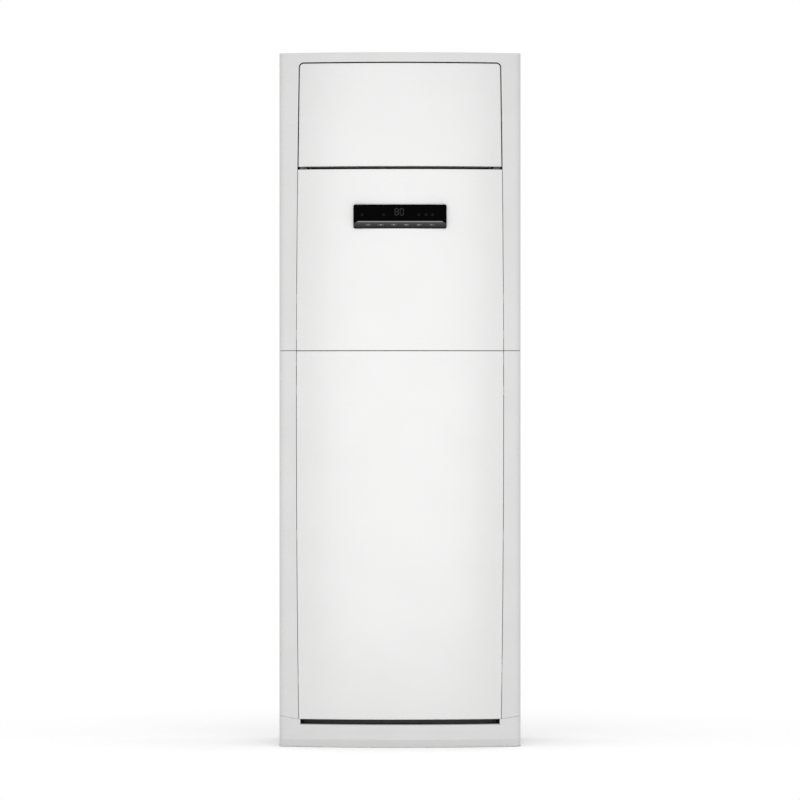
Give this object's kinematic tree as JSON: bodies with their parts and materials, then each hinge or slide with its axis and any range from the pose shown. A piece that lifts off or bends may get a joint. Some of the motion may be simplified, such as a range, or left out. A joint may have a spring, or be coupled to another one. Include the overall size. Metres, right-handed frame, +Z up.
{
  "type": "floor standing air conditioner",
  "caption": "Tall white column air conditioner: convex front, sliding outlet door over swinging louvers, black display with keys, side intakes, floor plinth.",
  "frame": {"origin": "on the floor, under the middle of the cabinet", "axes": "+Z up; the front faces -Y; +X is to the right of someone facing the front"},
  "size_m": [0.609, 0.39, 1.75],
  "materials": {
    "front_white": "moulded white plastic, satin gloss",
    "frame_white": "moulded white plastic, satin",
    "painted_steel": "white powder coat",
    "galvanised_steel": "bare galvanised sheet",
    "zinc_screws": "zinc plated",
    "black_gloss": "black, high gloss",
    "key_plastic": "dark grey, satin",
    "circuit_board": "green board",
    "filter_mesh": "dark grey mesh",
    "grommet_rubber": "black rubber",
    "duct_plastic": "white foam backed plastic",
    "louver_white": "white plastic, satin",
    "link_plastic": "natural acetal",
    "motor_metal": "plated steel cans",
    "shaft_steel": "ground steel",
    "fan_plastic": "dark grey plastic",
    "coil_aluminium": "bare fins",
    "pipe_copper": "copper tube with brass unions",
    "terminal_plastic": "black moulded block"
  },
  "bodies": {
    "cabinet": {"lower_panel": "front_white", "display_panel": "front_white", "upper_front_frame": "frame_white", "lower_left_cheek": "frame_white", "lower_right_cheek": "frame_white", "plinth": "frame_white", "top_cover": "frame_white", "left_side_panel": "painted_steel", "right_side_panel": "painted_steel", "upper_rear_panel": "painted_steel", "lower_rear_panel": "painted_steel", "base_pan": "galvanised_steel", "cross_beam": "galvanised_steel", "wall_bracket": "galvanised_steel", "electrical_box": "galvanised_steel", "fan_casing": "galvanised_steel", "panel_screws": "zinc_screws", "display_fascia": "black_gloss", "display_board": "circuit_board", "pipe_grommet": "grommet_rubber", "outlet_duct": "duct_plastic", "drain_pan": "duct_plastic", "drain_pipe": "duct_plastic", "door_rails": "link_plastic", "louver_motor": "motor_metal", "vane_motor": "motor_metal", "door_motor": "motor_metal", "fan_motor": "motor_metal", "evaporator": "coil_aluminium", "gas_pipe": "pipe_copper", "liquid_pipe": "pipe_copper", "terminal_block": "terminal_plastic"},
    "door": {"outlet_door": "front_white", "left_door_runner": "link_plastic", "right_door_runner": "link_plastic"},
    "door_shaft": {"door_pinion_shaft": "link_plastic"},
    "fan_wheel": {"impeller": "fan_plastic", "fan_shaft": "shaft_steel"},
    "left_intake": {"left_intake_grille": "frame_white", "left_filter": "filter_mesh"},
    "right_intake": {"right_intake_grille": "frame_white", "right_filter": "filter_mesh"},
    "louver_1": {"louver_1": "louver_white"},
    "vane_1": {"vane_1": "louver_white"},
    "louver_2": {"louver_2": "louver_white"},
    "vane_2": {"vane_2": "louver_white"},
    "louver_3": {"louver_3": "louver_white"},
    "vane_3": {"vane_3": "louver_white"},
    "louver_4": {"louver_4": "louver_white"},
    "vane_4": {"vane_4": "louver_white"},
    "louver_5": {"louver_5": "louver_white"},
    "vane_5": {"vane_5": "louver_white"},
    "louver_link": {"louver_link": "link_plastic"},
    "vane_link": {"vane_link": "link_plastic"},
    "key_1": {"key_1": "key_plastic"},
    "key_2": {"key_2": "key_plastic"},
    "key_3": {"key_3": "key_plastic"},
    "key_4": {"key_4": "key_plastic"},
    "key_5": {"key_5": "key_plastic"},
    "key_6": {"key_6": "key_plastic"}
  },
  "joints": [
    {"name": "door_slide", "type": "slide", "parent": "cabinet", "child": "door", "axis": [0, 0.1191, -0.9929], "range_m": [0, 0.25]},
    {"name": "door_shaft_turn", "type": "hinge", "parent": "cabinet", "child": "door_shaft", "pos_m": [0, -0.08571, 1.44], "axis": [1, 0, 0], "range_deg": [0, 900]},
    {"name": "fan_spin", "type": "hinge", "parent": "cabinet", "child": "fan_wheel", "pos_m": [-0.018, 0, 0.33], "axis": [0, 1, 0], "continuous": true},
    {"name": "left_intake_pull", "type": "slide", "parent": "cabinet", "child": "left_intake", "axis": [-1, 0, 0], "range_m": [0, 0.06]},
    {"name": "right_intake_pull", "type": "slide", "parent": "cabinet", "child": "right_intake", "axis": [1, 0, 0], "range_m": [0, 0.06]},
    {"name": "louver_1_tilt", "type": "hinge", "parent": "cabinet", "child": "louver_1", "pos_m": [0, -0.085, 1.493], "axis": [1, 0, 0], "range_deg": [0, 110]},
    {"name": "louver_2_tilt", "type": "hinge", "parent": "cabinet", "child": "louver_2", "pos_m": [0, -0.085, 1.543], "axis": [1, 0, 0], "range_deg": [0, 110]},
    {"name": "louver_3_tilt", "type": "hinge", "parent": "cabinet", "child": "louver_3", "pos_m": [0, -0.085, 1.593], "axis": [1, 0, 0], "range_deg": [0, 110]},
    {"name": "louver_4_tilt", "type": "hinge", "parent": "cabinet", "child": "louver_4", "pos_m": [0, -0.085, 1.643], "axis": [1, 0, 0], "range_deg": [0, 110]},
    {"name": "louver_5_tilt", "type": "hinge", "parent": "cabinet", "child": "louver_5", "pos_m": [0, -0.085, 1.693], "axis": [1, 0, 0], "range_deg": [0, 110]},
    {"name": "louver_link_pin", "type": "hinge", "parent": "louver_1", "child": "louver_link", "pos_m": [0.222, -0.07697, 1.48153], "axis": [1, 0, 0], "range_deg": [-110, 0]},
    {"name": "vane_1_turn", "type": "hinge", "parent": "cabinet", "child": "vane_1", "pos_m": [-0.176, -0.035, 1.59], "axis": [0, 0, 1], "range_deg": [-40, 40]},
    {"name": "vane_2_turn", "type": "hinge", "parent": "cabinet", "child": "vane_2", "pos_m": [-0.088, -0.035, 1.59], "axis": [0, 0, 1], "range_deg": [-40, 40]},
    {"name": "vane_3_turn", "type": "hinge", "parent": "cabinet", "child": "vane_3", "pos_m": [0, -0.035, 1.59], "axis": [0, 0, 1], "range_deg": [-40, 40]},
    {"name": "vane_4_turn", "type": "hinge", "parent": "cabinet", "child": "vane_4", "pos_m": [0.088, -0.035, 1.59], "axis": [0, 0, 1], "range_deg": [-40, 40]},
    {"name": "vane_5_turn", "type": "hinge", "parent": "cabinet", "child": "vane_5", "pos_m": [0.176, -0.035, 1.59], "axis": [0, 0, 1], "range_deg": [-40, 40]},
    {"name": "vane_link_pin", "type": "hinge", "parent": "vane_1", "child": "vane_link", "pos_m": [-0.176, -0.017, 1.47], "axis": [0, 0, 1], "range_deg": [-40, 40]},
    {"name": "key_1_press", "type": "slide", "parent": "cabinet", "child": "key_1", "axis": [0, 0.9512, 0.3085], "range_m": [0, 0.0008], "stiffness_N_per_m": 1500, "springref_m": -0.0001},
    {"name": "key_2_press", "type": "slide", "parent": "cabinet", "child": "key_2", "axis": [0, 0.9512, 0.3085], "range_m": [0, 0.0008], "stiffness_N_per_m": 1500, "springref_m": -0.0001},
    {"name": "key_3_press", "type": "slide", "parent": "cabinet", "child": "key_3", "axis": [0, 0.9512, 0.3085], "range_m": [0, 0.0008], "stiffness_N_per_m": 1500, "springref_m": -0.0001},
    {"name": "key_4_press", "type": "slide", "parent": "cabinet", "child": "key_4", "axis": [0, 0.9512, 0.3085], "range_m": [0, 0.0008], "stiffness_N_per_m": 1500, "springref_m": -0.0001},
    {"name": "key_5_press", "type": "slide", "parent": "cabinet", "child": "key_5", "axis": [0, 0.9512, 0.3085], "range_m": [0, 0.0008], "stiffness_N_per_m": 1500, "springref_m": -0.0001},
    {"name": "key_6_press", "type": "slide", "parent": "cabinet", "child": "key_6", "axis": [0, 0.9512, 0.3085], "range_m": [0, 0.0008], "stiffness_N_per_m": 1500, "springref_m": -0.0001}
  ],
  "couplings": [
    {"joint": "door_shaft_turn", "follows": "door_slide", "rad_per_m": 62.5},
    {"joint": "louver_2_tilt", "follows": "louver_1_tilt", "ratio": 1},
    {"joint": "louver_3_tilt", "follows": "louver_1_tilt", "ratio": 1},
    {"joint": "louver_4_tilt", "follows": "louver_1_tilt", "ratio": 1},
    {"joint": "louver_5_tilt", "follows": "louver_1_tilt", "ratio": 1},
    {"joint": "louver_link_pin", "follows": "louver_1_tilt", "ratio": -1},
    {"joint": "vane_2_turn", "follows": "vane_1_turn", "ratio": 1},
    {"joint": "vane_3_turn", "follows": "vane_1_turn", "ratio": 1},
    {"joint": "vane_4_turn", "follows": "vane_1_turn", "ratio": 1},
    {"joint": "vane_5_turn", "follows": "vane_1_turn", "ratio": 1},
    {"joint": "vane_link_pin", "follows": "vane_1_turn", "ratio": -1}
  ]
}
